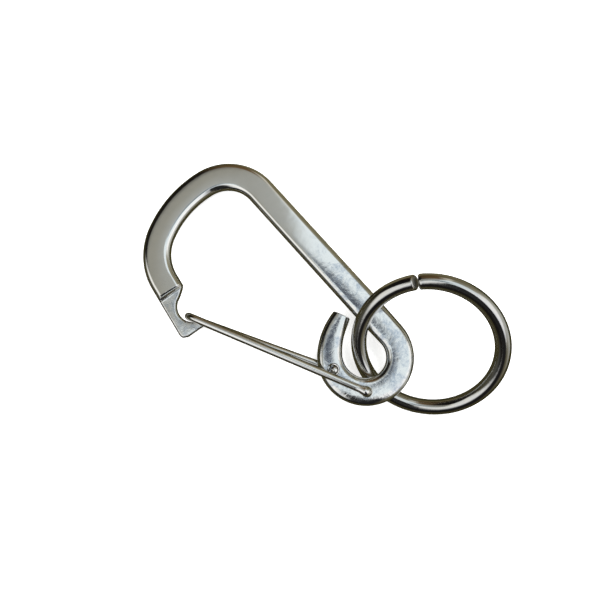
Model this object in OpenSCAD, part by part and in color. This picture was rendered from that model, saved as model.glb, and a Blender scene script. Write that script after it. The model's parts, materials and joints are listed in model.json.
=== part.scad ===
// Small steel carabiner with a wire gate, carrying one round key ring in its eye.
// Origin: the centre of the eye, halfway through the pressed rod.
// +Y runs along the straight spine towards the wide bend, +Z out of the front face.

/* [Rod] */
// Width of the pressed rod across its two round edges
rod_width = 5.8; // [4.8:0.1:6.6]
// Thickness of the pressed rod between its two flat faces
rod_thick = 2.5; // [2:0.1:3]

/* [Frame] */
// Length of the straight spine, from the eye's centre to the top bend
spine_length = 39.5; // [32:0.1:48]
// Radius of the top bend, to the middle of the rod
top_bend_r = 9.1; // [7:0.1:11]
// Turn of the top bend, in degrees
top_bend_turn = 81; // [76:1:86]
// Radius of the shallow crown, to the middle of the rod
crown_r = 22; // [18:0.5:26]
// Turn of the shallow crown, in degrees
crown_turn = 36; // [32:1:40]
// Radius of the bend above the nose, to the middle of the rod
nose_bend_r = 11.2; // [9:0.1:13]
// Turn of the bend above the nose, in degrees
nose_bend_turn = 54; // [50:1:58]
// Straight rod between that bend and the coined nose
nose_root = 2.3; // [1.5:0.1:3]

/* [Eye] */
// Radius of the eye, to the middle of the rod
eye_r = 6.75; // [6.2:0.05:8.1]
// Radius of the tail that closes the eye, to the middle of the rod
tail_r = 11.5; // [10.5:0.1:12.5]
// Opening left between the end of the tail and the spine
tail_gap = 0.7; // [0.4:0.1:1.5]
// How much of the slanted end of the tail its narrowed inner side takes off
tail_slim = 2; // [1.6:0.1:2.4]

/* [Nose] */
// Thickness of the nose where it is coined thin
nose_thick = 1.5; // [1:0.1:1.8]
// Length of the coined nose, from its shoulder to its flat end
nose_length = 10; // [9.6:0.1:11]
// Radius of the hollow that the loop of the gate drops into
throat_r = 3.4; // [3:0.1:3.8]

/* [Gate] */
// Diameter of the spring wire
wire_d = 1.5; // [1.1:0.1:1.8]
// Room between a leg of the wire and the face of the rod
leg_gap = 0.1; // [0.05:0.05:0.4]
// Place of the front leg's pivot round the eye, in degrees
front_pivot_at = 231; // [226:1:236]
// Place of the rear leg's pivot round the eye, in degrees
rear_pivot_at = 160; // [156:1:164]
// Radial clearance of the front pivot
front_pivot_clear = 0.05; // [0.02:0.01:0.1]
// Radial clearance of the rear pivot, which lets the hairpin swing
rear_pivot_clear = 0.4; // [0.36:0.02:0.6]
// How far the rear pin sits from the middle of its hole at rest
rear_pin_offset = 0.2; // [0.1:0.05:0.3]

/* [Ring] */
// Outer diameter of the key ring
ring_d = 29.6; // [27:0.1:36]
// Diameter of the key ring's wire
ring_wire_d = 3; // [2.5:0.1:3]
// Width of the closed joint in the key ring
ring_joint = 0.12; // [0.05:0.01:0.5]

/* [Hidden] */

$fn = 64;
// Overlap that makes two solids of one piece into one
joined = 0.02;

// Places along the frame's centre line, worked from the eye outwards
function polar(r, a) = [r * cos(a), r * sin(a)];
top_centre = [eye_r - top_bend_r, spine_length];
crown_from = top_bend_turn;
crown_centre = top_centre + polar(top_bend_r - crown_r, crown_from);
nose_bend_from = crown_from + crown_turn;
nose_bend_centre = crown_centre + polar(crown_r - nose_bend_r, nose_bend_from);
nose_bend_to = nose_bend_from + nose_bend_turn;
nose_start = nose_bend_centre + polar(nose_bend_r, nose_bend_to);
nose_heading = nose_bend_to + 90;
nose_origin = nose_start + polar(nose_root, nose_heading);

tail_from = 135;
tail_to = 90;
tail_centre = polar(eye_r - tail_r, tail_from);
tail_cut_turn = 20;
tail_corner = [eye_r - rod_width / 2 - tail_gap, tail_centre[1] + tail_r - rod_width / 2];

// The nose has its own axes: x from its shoulder to its flat end, y towards the spine
function from_nose(p) = nose_origin + polar(p[0], nose_heading) + polar(p[1], nose_heading + 90);

// The hairpin: both legs lie level, and the loop between them stands on edge
wire_r = wire_d / 2;
leg_z = rod_thick / 2 + leg_gap + wire_r;
loop_seat = [6.45, 0.65];
front_pivot = polar(eye_r, front_pivot_at);
rear_hole = polar(eye_r, rear_pivot_at);
loop_tip = from_nose(loop_seat);
function turn_of(v) = atan2(v[1], v[0]);
front_turn = turn_of(loop_tip - front_pivot);
loop_centre = loop_tip - polar(leg_z, front_turn);
rear_pivot = rear_hole - polar(rear_pin_offset, turn_of(loop_centre - rear_hole));
rear_turn = turn_of(loop_centre - rear_pivot);
front_reach = norm(loop_centre - front_pivot);
rear_reach = norm(loop_centre - rear_pivot);
elbow_r = wire_r + 0.05;
pin_recess = 0.1;

// The key ring at rest, leaning on the spine and passing under the eye
ring_wire_r = ring_wire_d / 2;
ring_r = ring_d / 2 - ring_wire_r;
ring_lean = asin((rod_thick + ring_wire_d) / (1.496 * eye_r));
ring_crossing = eye_r * [0.0155, 0.2775, 0];
ring_turn = -63.2;
ring_centre_at = 27;
ring_joint_at = 120;

module rod_section() {
    flat = rod_width - rod_thick;
    square([flat, rod_thick], center = true);
    for (side = [-1, 1])
        translate([side * flat / 2, 0]) circle(d = rod_thick);
}

// A straight stretch of rod along +Y from the origin
module rod_straight(length) {
    rotate([-90, 0, 0]) linear_extrude(length) rod_section();
}

// A bent stretch of rod about the origin
module rod_bend(r, from, turn) {
    rotate([0, 0, from]) rotate_extrude(angle = turn, $fn = 180)
        translate([r, 0]) rod_section();
}

module pivot_hole(at, clearance) {
    translate([at[0], at[1], -rod_thick]) cylinder(r = wire_r + clearance, h = 2 * rod_thick);
}

module bent_rod() {
    translate([eye_r, 0]) rod_straight(spine_length);
    translate(top_centre) rod_bend(top_bend_r, 0, top_bend_turn);
    translate(crown_centre) rod_bend(crown_r, crown_from, crown_turn);
    translate(nose_bend_centre) rod_bend(nose_bend_r, nose_bend_from, nose_bend_turn);
    translate(nose_start) rotate([0, 0, nose_bend_to]) rod_straight(nose_root);
    rod_bend(eye_r, tail_from, 360 - tail_from);
    rotate([0, 0, tail_from]) translate([eye_r - tail_r, 0]) mirror([0, 1, 0])
        rod_bend(tail_r, 0, tail_from - tail_to);
}

// What comes off the tail: a slanted cut at its end and a narrowing of its inner side,
// in a block that stops short of the spine
module tail_cut() {
    inner_r = eye_r - rod_width / 2;
    slant = [-tan(tail_cut_turn), 1];
    rise = rod_width + 1;
    translate([0, 0, -rod_thick]) linear_extrude(2 * rod_thick)
        polygon([polar(inner_r - 0.05, 145), polar(inner_r + 1.2, 101), tail_corner + tail_slim * slant,
                 tail_corner + rise * slant, [inner_r - 0.1, tail_corner[1] + rise],
                 [inner_r - 0.1, tail_corner[1] - 1], [0, 0.8 * inner_r]]);
}

// Outline of the coined nose in its own axes: a flat-ended hook behind a hollow throat
module nose_outline() {
    half = rod_width / 2;
    throat = [5.1, half - 0.3];
    difference() {
        polygon([[0, -half], [nose_length - 1.1, -half], [nose_length - 0.5, -half + 0.25],
                 [nose_length - 0.15, -half + 0.8], [nose_length, -half + 1.6],
                 [nose_length, half - 0.9], [nose_length - 0.4, half + 0.1],
                 [throat[0] + throat_r + 0.1, half + 0.1], throat + [throat_r - 0.3, -0.6],
                 throat - [0, 0.7 * throat_r], throat + [0.5 - throat_r, -1.5],
                 [1, half - 0.5], [0.5, half], [0, half]]);
        translate(throat) circle(r = throat_r);
    }
}

module nose() {
    translate(nose_origin) rotate([0, 0, nose_heading])
        translate([-joined, 0, -nose_thick / 2]) linear_extrude(nose_thick) nose_outline();
}

module frame() {
    color([0.74, 0.76, 0.78]) difference() {
        union() {
            difference() {
                bent_rod();
                tail_cut();
            }
            nose();
        }
        pivot_hole(front_pivot, front_pivot_clear);
        pivot_hole(rear_hole, rear_pivot_clear);
    }
}

// One leg of the hairpin, in front of the rod: pin, elbow, leg and its half of the loop
module gate_leg(reach) {
    translate([0, 0, -rod_thick / 2 + pin_recess])
        cylinder(r = wire_r, h = leg_z - elbow_r + rod_thick / 2 - pin_recess);
    translate([elbow_r, 0, leg_z - elbow_r]) rotate([90, 0, 0]) rotate([0, 0, 90])
        rotate_extrude(angle = 90, $fn = 90) translate([elbow_r, 0]) circle(r = wire_r);
    translate([elbow_r, 0, leg_z]) rotate([0, 90, 0]) cylinder(r = wire_r, h = reach - elbow_r);
    translate([reach, 0, 0]) rotate([90, 0, 0])
        rotate_extrude(angle = 90, $fn = 90) translate([leg_z, 0]) circle(r = wire_r);
}

module gate_front_leg() {
    color([0.66, 0.66, 0.64])
        translate(front_pivot) rotate([0, 0, front_turn]) gate_leg(front_reach);
}

module gate_rear_leg() {
    color([0.6, 0.6, 0.58])
        translate(rear_pivot) rotate([0, 0, rear_turn]) mirror([0, 0, 1]) gate_leg(rear_reach);
}

module ring() {
    opening = 2 * asin(ring_joint / 2 / ring_r);
    color([0.45, 0.45, 0.44])
        translate(ring_crossing) rotate([0, 0, ring_turn]) rotate([ring_lean, 0, 0])
            translate(polar(ring_r, ring_centre_at)) rotate([0, 0, ring_joint_at + opening / 2])
                rotate_extrude(angle = 360 - opening, $fn = 180)
                    translate([ring_r, 0]) circle(r = ring_wire_r);
}

frame();
gate_front_leg();
gate_rear_leg();
ring();
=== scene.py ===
import json
import math

import bmesh
import bpy
from bpy.props import FloatProperty, FloatVectorProperty, PointerProperty
from mathutils import Matrix, Vector

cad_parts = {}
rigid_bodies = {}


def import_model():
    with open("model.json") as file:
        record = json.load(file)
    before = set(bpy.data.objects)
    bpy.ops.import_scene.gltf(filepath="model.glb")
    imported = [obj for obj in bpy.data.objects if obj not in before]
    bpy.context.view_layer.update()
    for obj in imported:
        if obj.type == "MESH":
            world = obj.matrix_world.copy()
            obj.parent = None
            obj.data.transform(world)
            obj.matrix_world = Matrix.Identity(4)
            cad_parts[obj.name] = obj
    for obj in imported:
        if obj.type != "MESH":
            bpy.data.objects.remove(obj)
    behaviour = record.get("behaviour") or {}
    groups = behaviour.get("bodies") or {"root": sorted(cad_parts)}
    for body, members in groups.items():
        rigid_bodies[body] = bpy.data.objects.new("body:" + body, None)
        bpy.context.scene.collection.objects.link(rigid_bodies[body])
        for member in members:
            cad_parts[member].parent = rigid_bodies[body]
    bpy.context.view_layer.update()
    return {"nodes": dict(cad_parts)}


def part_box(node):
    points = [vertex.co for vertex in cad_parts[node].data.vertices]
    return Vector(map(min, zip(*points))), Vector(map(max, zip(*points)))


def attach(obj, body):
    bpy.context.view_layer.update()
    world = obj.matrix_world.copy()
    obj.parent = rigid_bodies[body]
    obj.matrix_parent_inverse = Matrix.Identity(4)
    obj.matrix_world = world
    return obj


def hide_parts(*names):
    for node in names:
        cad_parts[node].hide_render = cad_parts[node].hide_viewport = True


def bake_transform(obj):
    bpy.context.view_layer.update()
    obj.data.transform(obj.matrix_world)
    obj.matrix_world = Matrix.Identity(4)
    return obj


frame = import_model()

bl_info = {
    "name": "Carabiner Keyring",
    "version": (1, 0, 0),
    "blender": (4, 5, 0),
    "location": "View3D > Sidebar > Keyring",
    "description": "Builds a pressed rod carabiner with a wire gate and a round key ring",
    "category": "Object",
}

MM = 0.001
UP = Vector((0, 0, 1))
# The camera's right and its upward side, laid on the table
RIGHT = Vector((0.7522, -0.6589, 0))
OVER = Vector((0.6589, 0.7522, 0))
# The rounded end of a gate pin, along the pin
PIN_DOME = 0.4 * MM


def length(name, description, mm, low=0.01):
    """A length property in metres, given in millimetres."""
    return FloatProperty(name=name, description=description, default=mm * MM, min=low * MM,
                         unit="LENGTH", subtype="DISTANCE", precision=5)


def turn(name, description, degrees):
    """An angle property in radians, given in degrees."""
    return FloatProperty(name=name, description=description, default=math.radians(degrees),
                         unit="ROTATION", subtype="ANGLE")


def colour(name, description, rgb):
    """A colour property."""
    return FloatVectorProperty(name=name, description=description, default=rgb, size=3,
                               min=0, max=1, subtype="COLOR")


class RodSizes(bpy.types.PropertyGroup):
    """The bent and pressed rod of the clip."""

    width: length("Width", "Width of the pressed rod along the spine and the wide bend", 5.8)
    eye_width: length("Eye width", "Width of the rod round the eye and the tail", 5.4)
    thickness: length("Thickness", "Thickness of the pressed rod", 2.5)
    crown: length("Crown", "How far the flat faces fall away towards their edges", 0.045, 0)
    tail_slim: length("Tail slimming", "How much narrower the tail's end is", 1.9, 0)
    tail_skew: length("Tail skew", "How far the tail's inner corner is ahead of its outer corner", 0.7, 0)
    spine: length("Spine", "Length of the straight spine", 39.5)
    eye_radius: length("Eye radius", "Radius of the eye to the middle of the rod", 6.75)
    tail_radius: length("Tail radius", "Radius of the opened-out tail", 12.3)
    top_radius: length("Top radius", "Radius of the tight bend at the head of the spine", 9.1)
    crown_radius: length("Crown radius", "Radius of the slack bend across the head", 22)
    nose_radius: length("Nose radius", "Radius of the bend above the nose", 11.2)
    nose_root: length("Nose root", "Straight rod between the last bend and the nose", 2.3)
    blade: length("Blade", "Thickness of the coined nose", 1.5)
    tail_turn: turn("Tail turn", "Bend of the tail", 35.1)
    eye_turn: turn("Eye turn", "Bend of the eye", 225)
    top_turn: turn("Top turn", "Bend at the head of the spine", 81)
    crown_turn: turn("Crown turn", "Slack bend across the head", 36)
    nose_turn: turn("Nose turn", "Bend above the nose", 54)


class GateSizes(bpy.types.PropertyGroup):
    """The hairpin of spring wire."""

    wire: length("Wire", "Diameter of the gate's wire", 1.5)
    level: length("Level", "Height of each leg above the middle of the rod", 2.1)
    elbow: length("Elbow", "Radius of the bend from a leg to its pin", 0.8)
    recess: length("Recess", "How far a pin stops short of the far face", 0.1)
    front_hole: length("Front hole", "Radius of the hole that the front pin turns in", 0.8)
    rear_hole: length("Rear hole", "Radius of the larger hole that the rear pin moves in", 1.15)
    front_pivot: turn("Front pivot", "Place of the front hole round the eye", 231)
    rear_pivot: turn("Rear pivot", "Place of the rear hole round the eye", 160)


class RingSizes(bpy.types.PropertyGroup):
    """The round key ring."""

    diameter: length("Diameter", "Outer diameter of the ring", 29.6)
    wire: length("Wire", "Diameter of the ring's wire", 3)
    joint: length("Joint", "Gap between the two butted ends", 0.12)
    lean: turn("Lean", "Lean of the ring out of the level", 33)
    heading: turn("Heading", "Direction of the level line that the ring leans about", -63.2)
    joint_at: turn("Joint place", "Place of the butt joint round the ring", 120)


class SteelColours(bpy.types.PropertyGroup):
    """The metals."""

    frame: colour("Frame", "Polished pressed rod", (0.80, 0.795, 0.775))
    gate: colour("Gate", "Bright drawn spring wire", (0.78, 0.77, 0.75))
    ring: colour("Ring", "Darker polished ring wire", (0.64, 0.63, 0.61))
    tint: colour("Handling tint", "Cold tint of handled steel", (0.46, 0.51, 0.58))


class KeyringSettings(bpy.types.PropertyGroup):
    """Everything that the keyring is made from."""

    rod: PointerProperty(type=RodSizes)
    gate: PointerProperty(type=GateSizes)
    ring: PointerProperty(type=RingSizes)
    steel: PointerProperty(type=SteelColours)


# ---- Plane geometry of the clip ----


def polar(radius, angle):
    """A point in the clip's plane."""
    return Vector((radius * math.cos(angle), radius * math.sin(angle)))


def bend_moves(rod):
    """The clip from the end of its tail to its nose.

    A bend is (radius, turn) and a straight is (None, length).
    """
    return [
        (rod.tail_radius, rod.tail_turn),
        (rod.eye_radius, rod.eye_turn),
        (None, rod.spine),
        (rod.top_radius, rod.top_turn),
        (rod.crown_radius, rod.crown_turn),
        (rod.nose_radius, rod.nose_turn),
        (None, rod.nose_root),
    ]


def walk(start, heading, moves):
    """Points and headings along left-hand bends and straights, as (point, heading, travelled)."""
    step_turn, step = math.radians(2.5), 1 * MM
    point, travelled = start.copy(), 0
    stations = [(point.copy(), heading, travelled)]
    for radius, amount in moves:
        if radius is None:
            count = max(1, round(amount / step))
            for k in range(count):
                point = point + polar(amount / count, heading)
                travelled += amount / count
                stations.append((point.copy(), heading, travelled))
            continue
        centre = point + polar(radius, heading + math.pi / 2)
        count = max(2, round(amount / step_turn))
        for k in range(1, count + 1):
            now = heading + amount * k / count
            point = centre + polar(radius, now - math.pi / 2)
            stations.append((point.copy(), now, travelled + radius * amount * k / count))
        heading += amount
        travelled += radius * amount
    return stations


def rod_stations(rod):
    """The stations of the whole rod. The eye's centre is at the origin and the spine runs along +Y."""
    seam = -rod.eye_turn
    tail_centre = polar(rod.eye_radius - rod.tail_radius, seam)
    tail_from = seam - rod.tail_turn
    start = tail_centre + polar(rod.tail_radius, tail_from)
    return walk(start, tail_from + math.pi / 2, bend_moves(rod))


def tail_narrowing(travelled):
    """How much of the tail's slimming is left at this distance from its end, from 1 down to 0."""
    corner, corner_reach, reach = 0.56, 2.4 * MM, 15 * MM
    return corner * math.exp(-travelled / corner_reach) + (1 - corner) * (1 - smooth(travelled / reach))


def smooth(t):
    """An ease from 0 to 1."""
    t = min(max(t, 0), 1)
    return t * t * (3 - 2 * t)


def spline(points, steps):
    """A smooth line through points of any dimension."""
    line = []
    last = len(points) - 1
    for k in range(last):
        a, b = points[k], points[k + 1]
        before, after = points[max(k - 1, 0)], points[min(k + 2, last)]
        for s in range(steps):
            t = s / steps
            line.append(tuple(
                0.5 * (2 * q + (r - p) * t + (2 * p - 5 * q + 4 * r - v) * t * t
                       + (3 * q - p - 3 * r + v) * t ** 3)
                for p, q, r, v in zip(before, a, b, after)))
    line.append(tuple(points[-1]))
    return line


def nose_ribs(rod):
    """Lines across the coined nose, from its shoulder to its tip, in millimetres.

    Each is (outer x, outer y, inner x, inner y, half thickness, side). x runs towards the tip and y
    towards the spine, and side is how far each rounded side reaches in.
    """
    half, thick, blade = rod.width / MM / 2, rod.thickness / MM / 2, rod.blade / MM / 2
    throat_x, throat_y, throat_r = 5.1, half - 0.3, 3.4
    root, taper, edge = 1.08, 0.03, 0.55

    def throat(angle):
        return (throat_x + throat_r * math.cos(math.radians(angle)),
                throat_y + throat_r * math.sin(math.radians(angle)))

    step = [
        (0.0, -half, -0.1, half, thick, thick),
        (0.26, -half, 0.12, half - 0.01, thick - 0.15, thick - 0.2),
        (0.46, -half, 0.28, half - 0.04, thick - 0.11, thick - 0.2),
        (0.86, -half, 0.58, half - 0.18, blade + 0.03, 0.65),
        (1.08, -half, 0.76, half - 0.32, blade + 0.07, 0.6),
        (1.35, -half, 0.95, half - 0.5, blade + 0.04, 0.55),
    ]
    blade_outer = [(2.1, 0.0), (3.2, 0.0), (4.3, 0.0), (5.4, 0.0), (6.4, 0.0), (7.3, 0.0), (8.1, 0.0),
                   (8.8, 0.02), (9.25, 0.12), (9.6, 0.4)]
    blade_inner = [throat(a) for a in (205, 225, 245, 267, 287, 304, 320, 335, 349)] + [(8.8, half - 0.15)]
    ribs = [(x, -half + lift, *inner, blade * (root - taper * x), edge)
            for (x, lift), inner in zip(blade_outer, blade_inner)]
    tip = [(9.82, -half + 0.95, 9.6, half - 0.3, blade * 0.76, 0.5)]
    return spline(step, steps=3)[:-1] + spline([step[-1]] + ribs + tip, steps=4)


# ---- Mesh building ----


def rod_section(outer, inner, half_thick, side, crown):
    """Points round the rod's section, from its outer to its inner edge in the clip's plane."""
    flat_steps, side_steps, most_side = 6, 14, 0.9
    across = inner - outer
    middle = (inner + outer) / 2
    half = across.length / 2
    across.normalize()
    side = min(side, half * most_side)
    flat = half - side
    shoulder = half_thick - crown
    ring = []
    for sign in (1, -1):
        for k in range(flat_steps + 1):
            y = sign * flat * (2 * k / flat_steps - 1)
            ring.append((y, sign * (half_thick - crown * (y / flat) ** 2)))
        for k in range(1, side_steps):
            angle = math.pi / 2 - math.pi * k / side_steps
            ring.append((sign * (flat + side * math.cos(angle)), sign * shoulder * math.sin(angle)))
    return [Vector((*(middle + across * y), z)) for y, z in ring]


def loft(name, rings):
    """A closed skin over rings of points, with flat ends."""
    mesh = bmesh.new()
    rows = [[mesh.verts.new(p) for p in ring] for ring in rings]
    count = len(rows[0])
    for a, b in zip(rows, rows[1:]):
        for k in range(count):
            mesh.faces.new((a[k], a[(k + 1) % count], b[(k + 1) % count], b[k]))
    mesh.faces.new(rows[0][::-1])
    mesh.faces.new(rows[-1])
    bmesh.ops.recalc_face_normals(mesh, faces=mesh.faces)
    data = bpy.data.meshes.new(name)
    mesh.to_mesh(data)
    mesh.free()
    data.shade_smooth()
    made = bpy.data.objects.new(name, data)
    bpy.context.scene.collection.objects.link(made)
    return made


def inset(ring, amount, along):
    """A ring drawn in towards its middle and moved along, for a rounded end."""
    middle = sum(ring, Vector()) / len(ring)
    return [p + (middle - p).normalized() * amount + along for p in ring]


def sharpen(made, degrees=32):
    """Keeps edges sharper than this crisp."""
    made.data.set_sharp_from_angle(angle=math.radians(degrees))


def hole_cutter(at, radius, half_thick, chamfer):
    """A cutter for a hole with both its rims broken."""
    clear = 0.3 * MM
    profile = [(-half_thick - clear, radius + chamfer + clear), (-half_thick + chamfer, radius),
               (half_thick - chamfer, radius), (half_thick + clear, radius + chamfer + clear)]
    steps = 64
    rings = [[Vector((at.x, at.y, z)) + Vector((*polar(r, math.tau * k / steps), 0)) for k in range(steps)]
             for z, r in profile]
    return loft("cutter", rings)


def cut(made, cutter):
    """Takes one solid out of another."""
    modifier = made.modifiers.new("cut", "BOOLEAN")
    modifier.object = cutter
    modifier.operation = "DIFFERENCE"
    modifier.solver = "EXACT"
    bpy.context.view_layer.objects.active = made
    bpy.ops.object.modifier_apply(modifier=modifier.name)
    bpy.data.objects.remove(cutter)


def sweep(points, radii, sides=32):
    """Rings of a round wire along a line of points, without twist."""
    last = len(points) - 1
    rings = []
    across = None
    for k, point in enumerate(points):
        along = (points[min(k + 1, last)] - points[max(k - 1, 0)]).normalized()
        if across is None:
            across = along.orthogonal().normalized()
        across = (across - along * across.dot(along)).normalized()
        other = along.cross(across)
        rings.append([point + (across * math.cos(a) + other * math.sin(a)) * radii[k]
                      for a in (math.tau * s / sides for s in range(sides))])
    return rings


def gate_points(gate, rod):
    """The gate's fixed points in the clip's plane: front pin, rear pin, rear hole and middle of the loop."""
    seat_on, seat_in, rear_play = 6.45 * MM, 0.65 * MM, 0.2 * MM
    nose, heading, _ = rod_stations(rod)[-1]
    seat = nose + polar(seat_on, heading) + polar(seat_in, heading + math.pi / 2)
    front = polar(rod.eye_radius, gate.front_pivot)
    hole = polar(rod.eye_radius, gate.rear_pivot)
    loop = seat - (seat - front).normalized() * gate.level
    rear = hole - (loop - hole).normalized() * rear_play
    return front, rear, hole, loop


def leg_line(gate, rod, pin, loop, side):
    """The middle line of one leg, from the end of its pin to the loop. side is 1 in front and -1 behind."""
    direction = (loop - pin).normalized()
    base = Vector((*pin, 0))
    along = Vector((*direction, 0))
    line = []
    pin_from = -rod.thickness / 2 + gate.recess
    pin_to = gate.level - gate.elbow
    shank_steps, elbow_steps, leg_steps = 8, 16, 40
    for part in (0, 0.03, 0.1, 0.2, 0.35, 0.55, 0.8):
        line.append(base + UP * side * (pin_from + PIN_DOME * part))
    for k in range(shank_steps + 1):
        up = pin_from + PIN_DOME + (pin_to - pin_from - PIN_DOME) * k / shank_steps
        line.append(base + UP * side * up)
    for k in range(1, elbow_steps + 1):
        angle = math.pi / 2 * k / elbow_steps
        line.append(base + along * gate.elbow * (1 - math.cos(angle))
                    + UP * side * (pin_to + gate.elbow * math.sin(angle)))
    reach = (loop - pin).length
    for k in range(1, leg_steps + 1):
        out = gate.elbow + (reach - gate.elbow) * k / leg_steps
        line.append(base + along * out + UP * side * gate.level)
    return line


def pin_radii(line, gate, elbow):
    """A wire's radius along its line: a domed end, and a ball at the elbow that stays clear of the rod."""
    radius = gate.wire / 2
    face = gate.level - radius
    swelling, spread, clears_over, bluntness = 0.32 * MM, 1.0 * MM, 0.3 * MM, 0.02
    radii = []
    for point in line:
        short = max(0, 1 - (point - line[0]).length / PIN_DOME)
        swell = swelling * math.exp(-((point - elbow).length / spread) ** 4)
        swell *= smooth((abs(point.z) - face) / clears_over)
        radii.append(radius * math.sqrt(max(1 - short ** 2, bluntness)) + swell)
    return radii


def leg_rings(line, gate, elbow, side):
    """Rings along one leg, with nothing past the elbow nearer the rod than the leg itself."""
    face = gate.level - gate.wire / 2
    rings = sweep(line, pin_radii(line, gate, elbow))
    for point, section in zip(line, rings):
        if abs(point.z) > face:
            for p in section:
                p.z = side * max(side * p.z, face)
    return rings


# ---- Shader groups ----


class Nodes:
    """Short calls for making and joining shader nodes in one tree."""

    def __init__(self, tree):
        self.tree = tree

    def add(self, kind, **values):
        """A new node with its own settings."""
        node = self.tree.nodes.new(kind)
        for key, value in values.items():
            setattr(node, key, value)
        return node

    def put(self, value, socket):
        """Joins an output, or sets a plain value."""
        if isinstance(value, bpy.types.NodeSocket):
            self.tree.links.new(value, socket)
        else:
            socket.default_value = value

    def maths(self, operation, a, b=0.0):
        """The result of one sum."""
        node = self.add("ShaderNodeMath", operation=operation)
        for value, socket in zip((a, b), node.inputs):
            self.put(value, socket)
        return node.outputs[0]

    def noise(self, vector, scale, detail=2.0, roughness=0.5, distortion=0.0):
        """A cloudy pattern from 0 to 1."""
        node = self.add("ShaderNodeTexNoise")
        for value, name in ((vector, "Vector"), (scale, "Scale"), (detail, "Detail"),
                            (roughness, "Roughness"), (distortion, "Distortion")):
            self.put(value, node.inputs[name])
        return node.outputs["Fac"]

    def step(self, value, low, high, out_low=0.0, out_high=1.0):
        """A smooth step between two values."""
        node = self.add("ShaderNodeMapRange", interpolation_type="SMOOTHSTEP")
        for item, name in ((value, "Value"), (low, "From Min"), (high, "From Max"),
                           (out_low, "To Min"), (out_high, "To Max")):
            self.put(item, node.inputs[name])
        return node.outputs["Result"]

    def mix(self, factor, a, b):
        """A blend of two colours. The numbered sockets are the node's colour ones."""
        node = self.add("ShaderNodeMix", data_type="RGBA")
        self.put(factor, node.inputs["Factor"])
        self.put(a, node.inputs[6])
        self.put(b, node.inputs[7])
        return node.outputs[2]

    def stretch(self, vector, scale):
        """A vector scaled along each axis."""
        node = self.add("ShaderNodeVectorMath", operation="MULTIPLY")
        self.put(vector, node.inputs[0])
        node.inputs[1].default_value = scale
        return node.outputs[0]


def new_group(name, inputs, outputs):
    """An empty shader group with named sockets, as (tree, nodes, input node, output node)."""
    tree = bpy.data.node_groups.new(name, "ShaderNodeTree")
    for kind, label, default in inputs:
        socket = tree.interface.new_socket(label, in_out="INPUT", socket_type=kind)
        if default is not None:
            socket.default_value = default
    for kind, label in outputs:
        tree.interface.new_socket(label, in_out="OUTPUT", socket_type=kind)
    nodes = Nodes(tree)
    return tree, nodes, nodes.add("NodeGroupInput"), nodes.add("NodeGroupOutput")


def polish_group():
    """Fine polishing lines and slow waviness of a polished surface, as a height."""
    tree, n, given, out = new_group(
        "Polish Lines",
        [("NodeSocketVector", "Millimetres", None), ("NodeSocketFloat", "Lines", 0.02),
         ("NodeSocketFloat", "Waves", 0.1)],
        [("NodeSocketFloat", "Height"), ("NodeSocketFloat", "Fineness")])
    where = given.outputs["Millimetres"]
    lines = n.noise(n.stretch(where, (9, 1.1, 9)), scale=1.0, detail=3.0, roughness=0.6)
    cross = n.noise(n.stretch(where, (1.3, 8, 8)), scale=1.0, roughness=0.6)
    waves = n.noise(where, scale=0.32, roughness=0.45)
    fine = n.maths("ADD", lines, cross)
    height = n.maths("ADD", n.maths("MULTIPLY", fine, given.outputs["Lines"]),
                     n.maths("MULTIPLY", waves, given.outputs["Waves"]))
    n.put(height, out.inputs["Height"])
    n.put(n.step(lines, 0.35, 0.7), out.inputs["Fineness"])
    return tree


def handling_group():
    """Blotches of handled steel: a mask of patches, and the small dents under them as a height."""
    tree, n, given, out = new_group(
        "Handling Marks",
        [("NodeSocketVector", "Millimetres", None), ("NodeSocketFloat", "Amount", 0.5),
         ("NodeSocketFloat", "Size", 1.0)],
        [("NodeSocketFloat", "Mask"), ("NodeSocketFloat", "Dents")])
    where = given.outputs["Millimetres"]

    def spots(per_mm, **pattern):
        return n.noise(where, n.maths("DIVIDE", per_mm, given.outputs["Size"]), **pattern)

    patches = spots(0.45, detail=4.0, roughness=0.62, distortion=0.6)
    specks = spots(2.2, detail=3.0, roughness=0.7, distortion=0.2)
    mask = n.maths("MULTIPLY", n.step(patches, 0.42, 0.66), n.step(specks, 0.3, 0.7, 0.35, 1.0))
    n.put(n.maths("MULTIPLY", mask, given.outputs["Amount"]), out.inputs["Mask"])
    dents = spots(0.9, detail=3.0, roughness=0.55, distortion=0.4)
    n.put(n.maths("MULTIPLY", dents, given.outputs["Amount"]), out.inputs["Dents"])
    return tree


def group(name, build):
    """The shader group of this name, built once."""
    return bpy.data.node_groups.get(name) or build()


def place_group(n, tree, **values):
    """A group node with its inputs joined or set."""
    node = n.add("ShaderNodeGroup", node_tree=tree)
    for name, value in values.items():
        n.put(value, node.inputs[name])
    return node


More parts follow.
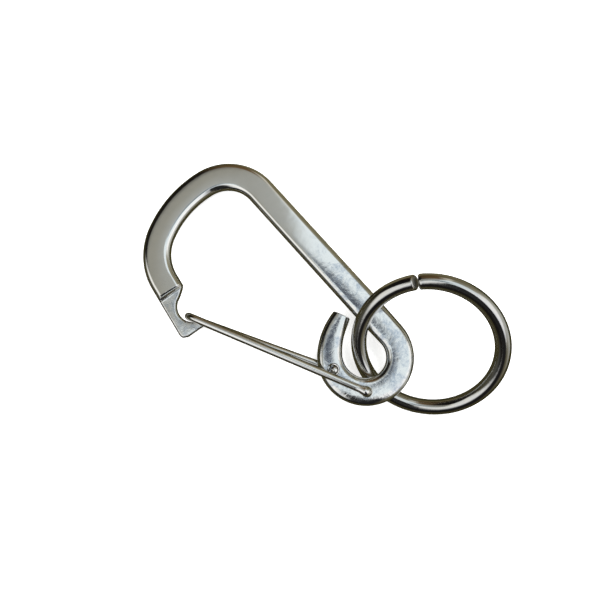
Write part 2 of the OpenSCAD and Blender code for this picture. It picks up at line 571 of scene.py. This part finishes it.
def steel(name, base, tint, rough, lines, waves, marks, mark_size, worn_below=None):
    """Polished steel, with polishing lines and waves as heights and handling marks over it.

    worn_below is the place along the spine, in millimetres, under which the marks are at their full.
    """
    fade, spared = 14, 0.12
    line_rough, mark_rough, dent_height, bump_depth = 0.05, 0.12, 0.8, 0.03 * MM
    material = bpy.data.materials.new(name)
    material.use_nodes = True
    n = Nodes(material.node_tree)
    shader = material.node_tree.nodes["Principled BSDF"]
    shader.inputs["Metallic"].default_value = 1.0
    coords = n.add("ShaderNodeTexCoord")
    where = n.stretch(coords.outputs["Object"], (1 / MM, 1 / MM, 1 / MM))
    amount = marks
    if worn_below is not None:
        split = n.add("ShaderNodeSeparateXYZ")
        n.put(where, split.inputs[0])
        amount = n.step(split.outputs["Y"], worn_below, worn_below + fade, marks, spared * marks)
    polish = place_group(n, group("Polish Lines", polish_group),
                         Millimetres=where, Lines=lines, Waves=waves)
    handling = place_group(n, group("Handling Marks", handling_group),
                           Millimetres=where, Amount=amount, Size=mark_size)
    mask = handling.outputs["Mask"]
    n.put(n.mix(mask, (*base, 1), (*tint, 1)), shader.inputs["Base Color"])
    fine = n.maths("MULTIPLY", polish.outputs["Fineness"], line_rough)
    n.put(n.maths("ADD", n.maths("ADD", fine, rough), n.maths("MULTIPLY", mask, mark_rough)),
          shader.inputs["Roughness"])
    bump = n.add("ShaderNodeBump")
    bump.inputs["Strength"].default_value = 1.0
    bump.inputs["Distance"].default_value = bump_depth
    dents = n.maths("MULTIPLY", handling.outputs["Dents"], dent_height)
    n.put(n.maths("ADD", polish.outputs["Height"], dents), bump.inputs["Height"])
    n.put(bump.outputs["Normal"], shader.inputs["Normal"])
    return material


# ---- Operators ----


class KEYRING_OT_frame(bpy.types.Operator):
    """Build the clip from one bent and pressed rod."""

    bl_idname = "keyring.frame"
    bl_label = "Clip Frame"

    def execute(self, context):
        settings = context.scene.keyring
        rod, gate, colours = settings.rod, settings.gate, settings.steel
        rings = []
        stations = rod_stations(rod)
        eye_end = rod.tail_radius * rod.tail_turn + rod.eye_radius * rod.eye_turn
        widens_from, widens_over = eye_end - 3 * MM, 12 * MM
        skew_over, skew_outside = 4 * MM, 0.2
        tail_break, nose_break, rim_break = 0.16 * MM, 0.12 * MM, 0.12 * MM
        for point, heading, travelled in stations:
            grown = smooth((travelled - widens_from) / widens_over)
            half = (rod.eye_width + (rod.width - rod.eye_width) * grown) / 2
            left = polar(1, heading + math.pi / 2)
            slim = rod.tail_slim * tail_narrowing(travelled)
            lag = polar(1, heading) * rod.tail_skew * (1 - smooth(travelled / skew_over))
            rings.append(rod_section(point - left * half + lag * skew_outside,
                                     point + left * (half - slim) - lag,
                                     rod.thickness / 2, rod.thickness / 2, rod.crown))
        nose, heading, _ = stations[-1]
        along, left = polar(MM, heading), polar(MM, heading + math.pi / 2)
        for ox, oy, ix, iy, thick, side in nose_ribs(rod):
            rings.append(rod_section(nose + along * ox + left * oy, nose + along * ix + left * iy,
                                     thick * MM, side * MM, rod.crown / 2))
        tail_back = Vector((*polar(tail_break, stations[0][1] + math.pi), 0))
        nose_on = Vector((*polar(nose_break, heading), 0))
        rings = [inset(rings[0], tail_break, tail_back), *rings, inset(rings[-1], nose_break, nose_on)]
        made = loft("clip_frame", rings)
        front, _, hole, _ = gate_points(gate, rod)
        for at, radius in ((front, gate.front_hole), (hole, gate.rear_hole)):
            cut(made, hole_cutter(at, radius, rod.thickness / 2, rim_break))
        sharpen(made)
        made.data.materials.append(steel(
            "Polished pressed steel", colours.frame, colours.tint,
            rough=0.07, lines=0.04, waves=0.5, marks=1.0, mark_size=1.0, worn_below=14))
        made.data.materials.append(steel(
            "Coined steel", colours.frame, colours.tint,
            rough=0.12, lines=0.2, waves=1.6, marks=0.8, mark_size=0.45))
        coined_from, coined_within = 0.4 * MM, 12 * MM
        for polygon in made.data.polygons:
            from_nose = polygon.center.xy - nose
            if from_nose.dot(polar(1, heading)) > coined_from and from_nose.length < coined_within:
                polygon.material_index = 1
        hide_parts("frame")
        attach(made, "frame")
        return {"FINISHED"}


class KEYRING_OT_gate(bpy.types.Operator):
    """Bend the wire gate: a leg in front, a leg behind and the loop that joins them round the nose."""

    bl_idname = "keyring.gate"
    bl_label = "Wire Gate"

    def execute(self, context):
        settings = context.scene.keyring
        rod, gate, colours = settings.rod, settings.gate, settings.steel
        front, rear, _, loop = gate_points(gate, rod)
        radius = gate.wire / 2
        finish = steel("Bright drawn wire", colours.gate, colours.tint,
                       rough=0.09, lines=0.06, waves=0.3, marks=0.25, mark_size=0.7)
        for name, pin, side, node, body in (
                ("gate_wire_front", front, 1, "gate_front_leg", "gate_front"),
                ("gate_wire_rear", rear, -1, "gate_rear_leg", "gate_rear")):
            line = leg_line(gate, rod, pin, loop, side)
            elbow = Vector((*pin, side * gate.level))
            leg = loft(name, leg_rings(line, gate, elbow, side))
            sharpen(leg, 40)
            leg.data.materials.append(finish)
            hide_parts(node)
            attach(leg, body)

        # The loop turns from the front leg's direction into the rear leg's as it goes round the nose
        front_turn = math.atan2(*(loop - front).yx)
        rear_turn = math.atan2(*(loop - rear).yx)
        line = []
        steps = 48
        for k in range(steps + 1):
            angle = math.pi * k / steps
            facing = front_turn + (rear_turn - front_turn) * smooth(k / steps)
            out = polar(gate.level * math.sin(angle), facing)
            line.append(Vector((*(loop + out), gate.level * math.cos(angle))))
        bow = loft("gate_wire_loop", sweep(line, [radius] * len(line)))
        sharpen(bow, 40)
        bow.data.materials.append(finish)
        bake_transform(bow)
        return {"FINISHED"}


class KEYRING_OT_ring(bpy.types.Operator):
    """Roll the key ring and butt its two cut ends together."""

    bl_idname = "keyring.ring"
    bl_label = "Key Ring"

    def execute(self, context):
        settings = context.scene.keyring
        ring, colours = settings.ring, settings.steel
        low, high = (Vector(corner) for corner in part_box("ring"))
        wire = ring.wire / 2
        radius = ring.diameter / 2 - wire
        opening = 2 * math.asin(ring.joint / 2 / radius)
        start = ring.joint_at + opening / 2
        end = ring.joint_at - opening / 2 + math.tau
        steps = 240
        place = (Matrix.Translation((low + high) / 2) @ Matrix.Rotation(ring.heading, 4, "Z")
                 @ Matrix.Rotation(ring.lean, 4, "X"))
        line, radii, slants = [], [], []
        bevel, bevel_draw, slant = 0.4 * MM, 0.14, 0.9 * MM
        slant_outward, slant_upward = 0.5, 0.87

        # Close steps over the two bevelled ends, even steps between them
        close = [bevel / radius * part for part in (0.12, 0.3, 0.6, 1.0)]
        even = [start + (end - start) * k / steps for k in range(2, steps - 1)]
        angles = [start, *(start + c for c in close), *even, *(end - c for c in reversed(close)), end]
        for angle in angles:
            gone = (angle - start) * radius
            shy = max(0, 1 - min(gone, (end - angle) * radius) / bevel)
            radii.append(wire * (1 - bevel_draw * shy ** 2))
            line.append(place @ Vector((*polar(radius, angle), 0)))
            slants.append((place.to_3x3() @ Vector((*polar(slant_outward, angle), slant_upward)),
                           place.to_3x3() @ Vector((*polar(1, angle + math.pi / 2), 0)),
                           slant * max(0, 1 - gone / (2 * slant))))
        rings = sweep(line, radii, sides=48)

        # The first end is sheared, so its top and outer side stand back from the joint
        for point, section, (facing, onward, pull) in zip(line, rings, slants):
            for k, p in enumerate(section):
                section[k] = p + onward * pull * (1 + (p - point).dot(facing) / wire) / 2
        made = loft("key_ring", rings)
        sharpen(made, 40)
        made.data.materials.append(steel(
            "Dark polished wire", colours.ring, colours.tint,
            rough=0.07, lines=0.05, waves=0.6, marks=0.3, mark_size=0.8))
        made.data.materials.append(steel(
            "Sheared wire end", colours.frame, colours.tint,
            rough=0.3, lines=0.4, waves=1.0, marks=0.3, mark_size=0.3))
        for polygon in made.data.polygons:
            is_cut_end = len(polygon.vertices) > 4
            polygon.material_index = int(is_cut_end)
        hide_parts("ring")
        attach(made, "ring")
        return {"FINISHED"}


# ---- Room, floor and camera ----


def wall_ramp(n, round_about, stops):
    """Colours of the walls by their bearing in degrees, where 0 is the camera's right."""
    node = n.add("ShaderNodeValToRGB")
    elements = node.color_ramp.elements
    while len(elements) < len(stops):
        elements.new(0.5)
    for element, (bearing, shade) in zip(elements, stops):
        element.position = (bearing + 180) / 360
        element.color = (*shade, 1)
    n.put(round_about, node.inputs[0])
    return node.outputs[0]


def studio_world(context):
    """A room seen in the metal: a pale ceiling, soft windows and dark walls between them."""
    world = bpy.data.worlds.new("Studio room")
    context.scene.world = world
    world.use_nodes = True
    n = Nodes(world.node_tree)
    background = world.node_tree.nodes["Background"]
    coords = n.add("ShaderNodeTexCoord")
    turned = n.add("ShaderNodeVectorRotate", rotation_type="Z_AXIS")
    turned.inputs["Angle"].default_value = math.atan2(-RIGHT.y, RIGHT.x)
    n.put(coords.outputs["Generated"], turned.inputs["Vector"])
    split = n.add("ShaderNodeSeparateXYZ")
    n.put(turned.outputs[0], split.inputs[0])
    x, y, z = split.outputs

    # The ceiling is grey far off and bright from a slanting line on
    warm_grey, cool_grey, bright = (0.345, 0.34, 0.295, 1), (0.42, 0.43, 0.405, 1), (0.93, 1.02, 1.06, 1)
    ceiling_at = n.maths("ADD", n.maths("MULTIPLY", x, 0.8), n.maths("MULTIPLY", y, -0.6))
    far_grey = n.mix(n.step(ceiling_at, -0.40, -0.27), warm_grey, cool_grey)
    ceiling = n.mix(n.step(ceiling_at, -0.238, -0.165), far_grey, bright)

    # The dark shape of whoever looks down on the keyring, wider across than along
    shade, shade_x, shade_y, shade_squeeze = (0.075, 0.09, 0.12, 1), -0.05, 0.07, 0.67
    across = n.maths("MULTIPLY", n.maths("SUBTRACT", x, shade_x), shade_squeeze)
    along = n.maths("SUBTRACT", y, shade_y)
    away = n.maths("SQRT", n.maths("ADD", n.maths("MULTIPLY", across, across),
                                   n.maths("MULTIPLY", along, along)))
    ceiling = n.mix(n.step(away, 0.04, 0.135), shade, ceiling)

    # The upper and the lower part of the walls, by bearing
    round_about = n.maths("ADD", n.maths("DIVIDE", n.maths("ARCTAN2", y, x), math.tau), 0.5)
    walls = wall_ramp(n, round_about, [
        (-180, (1.0, 1.0, 0.95)), (-134, (1.1, 1.1, 1.08)), (-118, (0.85, 0.86, 0.86)),
        (-106, (0.03, 0.03, 0.03)), (-62, (0.01, 0.01, 0.012)), (-50, (1.1, 1.12, 1.15)),
        (-15, (1.2, 1.2, 1.2)), (14, (1.1, 1.1, 1.08)), (28, (0.35, 0.33, 0.25)),
        (64, (0.27, 0.25, 0.17)), (70, (0.7, 0.68, 0.6)), (77, (0.6, 0.57, 0.48)),
        (86, (0.14, 0.09, 0.04)), (105, (0.13, 0.085, 0.04)), (120, (0.008, 0.007, 0.006)),
        (165, (0.008, 0.007, 0.006)), (174, (0.95, 0.95, 0.9)), (180, (1.0, 1.0, 0.95))])
    low_walls = wall_ramp(n, round_about, [
        (-180, (0.08, 0.075, 0.045)), (-150, (0.09, 0.09, 0.08)), (-124, (0.012, 0.01, 0.008)),
        (-76, (0.012, 0.011, 0.012)), (-50, (0.2, 0.18, 0.12)), (-20, (0.6, 0.6, 0.56)),
        (15, (0.5, 0.5, 0.44)), (40, (0.22, 0.2, 0.13)), (70, (0.17, 0.145, 0.08)),
        (90, (0.11, 0.07, 0.028)), (125, (0.006, 0.005, 0.004)), (165, (0.02, 0.018, 0.012)),
        (180, (0.08, 0.075, 0.045))])
    overhead = n.maths("MULTIPLY", n.step(z, 0.80, 0.90), n.step(y, -0.17, -0.09))
    above = n.mix(overhead, walls, ceiling)
    room = n.mix(n.step(z, 0.42, 0.62), low_walls, above)

    # The open background past the floor is plain and pale
    backdrop = (0.97, 0.97, 0.97, 1)
    seen = n.add("ShaderNodeLightPath").outputs["Is Camera Ray"]
    n.put(n.mix(seen, room, backdrop), background.inputs["Color"])
    background.inputs["Strength"].default_value = 1.0


def floor_mesh(half, steps):
    """A flat square grid about the origin, half its width each way."""
    mesh = bmesh.new()
    grid = [[mesh.verts.new((half * (2 * i / steps - 1), half * (2 * j / steps - 1), 0))
             for i in range(steps + 1)] for j in range(steps + 1)]
    for j in range(steps):
        for i in range(steps):
            mesh.faces.new((grid[j][i], grid[j][i + 1], grid[j + 1][i + 1], grid[j + 1][i]))
    data = bpy.data.meshes.new("floor")
    mesh.to_mesh(data)
    mesh.free()
    return data


def floor_material():
    """A pale seamless floor that the camera sees white, and that shows in the metal as a painted dim, warm
    reflection.
    """
    material = bpy.data.materials.new("Pale floor")
    material.use_nodes = True
    n = Nodes(material.node_tree)
    tree = material.node_tree
    shader = tree.nodes["Principled BSDF"]
    coords = n.add("ShaderNodeTexCoord")
    speckle = n.noise(coords.outputs["Object"], scale=40.0, detail=3.0)
    n.put(n.mix(speckle, (0.9, 0.9, 0.9, 1), (0.94, 0.94, 0.94, 1)), shader.inputs["Base Color"])
    shader.inputs["Roughness"].default_value = 0.8
    n.put(n.mix(speckle, (0.97, 0.97, 0.97, 1), (1.0, 1.0, 1.0, 1)), shader.inputs["Emission Color"])
    shader.inputs["Emission Strength"].default_value = 0.75
    split = n.add("ShaderNodeSeparateXYZ")
    n.put(coords.outputs["Object"], split.inputs[0])

    # Painted reflection: glossy rays see the floor as a dim, warm glow of painted shade, with painted light
    # beyond the clip's spine
    reflected_shade, reflected_light = (0.06, 0.053, 0.024, 1), (0.2, 0.175, 0.1, 1)
    light_beyond_spine = n.maths("MULTIPLY", n.step(split.outputs["X"], 9 * MM, 13 * MM),
                     n.step(split.outputs["Y"], 16 * MM, 24 * MM))
    painted_floor_reflection = n.add("ShaderNodeEmission")
    n.put(n.mix(light_beyond_spine, reflected_shade, reflected_light), painted_floor_reflection.inputs["Color"])
    # Glossy rays see the painted reflection in place of the pale floor
    path = n.add("ShaderNodeLightPath")
    both = n.add("ShaderNodeMixShader")
    n.put(path.outputs["Is Glossy Ray"], both.inputs[0])
    n.put(shader.outputs[0], both.inputs[1])
    n.put(painted_floor_reflection.outputs[0], both.inputs[2])
    n.put(both.outputs[0], tree.nodes["Material Output"].inputs["Surface"])
    return material


class KEYRING_OT_stage(bpy.types.Operator):
    """Set the pale floor, the soft studio light and the camera."""

    bl_idname = "keyring.stage"
    bl_label = "Stage"

    def execute(self, context):
        scene = context.scene
        studio_world(context)
        scene.view_settings.view_transform = "Standard"

        # The keyring rests on the low side of its ring and on the nose end of its gate
        slope = 0.065
        foot = Vector((0, -11.5, -5.5)) * MM
        floor = bpy.data.objects.new("floor", floor_mesh(half=1.5, steps=24))
        scene.collection.objects.link(floor)
        floor.matrix_world = Matrix.Translation(foot) @ Matrix.Rotation(math.atan(slope), 4, "X")
        floor.data.materials.append(floor_material())

        for name, at, size, power in (("Key softbox", (0.25, 0.05, 0.4), 0.25, 2.2),
                                      ("Fill softbox", (-0.3, 0.1, 0.35), 0.3, 0.8)):
            light = bpy.data.lights.new(name, "AREA")
            light.shape = "DISK"
            light.size = size
            light.energy = power
            lamp = bpy.data.objects.new(name, light)
            scene.collection.objects.link(lamp)
            lamp.location = at
            lamp.visible_glossy = False
            lamp.rotation_euler = (-Vector(at)).to_track_quat("-Z", "Y").to_euler()

        # The camera looks almost straight down, from close above the clip
        tilt, swing = math.radians(8), math.radians(3)
        aim, reach = Vector((-2.15, 17, 0)) * MM, 110 * MM
        back = (RIGHT * math.sin(swing) * math.cos(tilt) - OVER * math.sin(tilt)
                + UP * math.cos(tilt) * math.cos(swing)).normalized()
        side = OVER.cross(back).normalized()
        camera = bpy.data.cameras.new("Camera")
        camera.sensor_width = 36
        camera.lens = 33
        camera.clip_start = 0.005
        lens = bpy.data.objects.new("Camera", camera)
        scene.collection.objects.link(lens)
        turned = Matrix((side, back.cross(side), back)).transposed().to_4x4()
        lens.matrix_world = Matrix.Translation(aim + back * reach) @ turned
        scene.camera = lens
        return {"FINISHED"}


class KEYRING_PT_panel(bpy.types.Panel):
    """Sizes, colours and the steps that build the keyring."""

    bl_label = "Carabiner Keyring"
    bl_idname = "KEYRING_PT_panel"
    bl_space_type = "VIEW_3D"
    bl_region_type = "UI"
    bl_category = "Keyring"

    def draw(self, context):
        settings = context.scene.keyring
        for title, part in (("Rod", settings.rod), ("Gate", settings.gate),
                            ("Ring", settings.ring), ("Steel", settings.steel)):
            box = self.layout.box()
            box.label(text=title)
            for name in part.__annotations__:
                box.prop(part, name)
        for operator in OPERATORS:
            self.layout.operator(operator.bl_idname)


OPERATORS = (KEYRING_OT_stage, KEYRING_OT_frame, KEYRING_OT_gate, KEYRING_OT_ring)
CLASSES = (RodSizes, GateSizes, RingSizes, SteelColours, KeyringSettings, *OPERATORS, KEYRING_PT_panel)


def register():
    for item in CLASSES:
        bpy.utils.register_class(item)
    bpy.types.Scene.keyring = PointerProperty(type=KeyringSettings)


def unregister():
    del bpy.types.Scene.keyring
    for item in reversed(CLASSES):
        bpy.utils.unregister_class(item)


def main():
    register()
    for item in [o for o in bpy.context.scene.objects if o.name in ("Cube", "Light", "Camera")]:
        bpy.data.objects.remove(item)
    bpy.ops.keyring.stage()
    bpy.ops.keyring.frame()
    bpy.ops.keyring.gate()
    bpy.ops.keyring.ring()


if __name__ == "__main__":
    main()
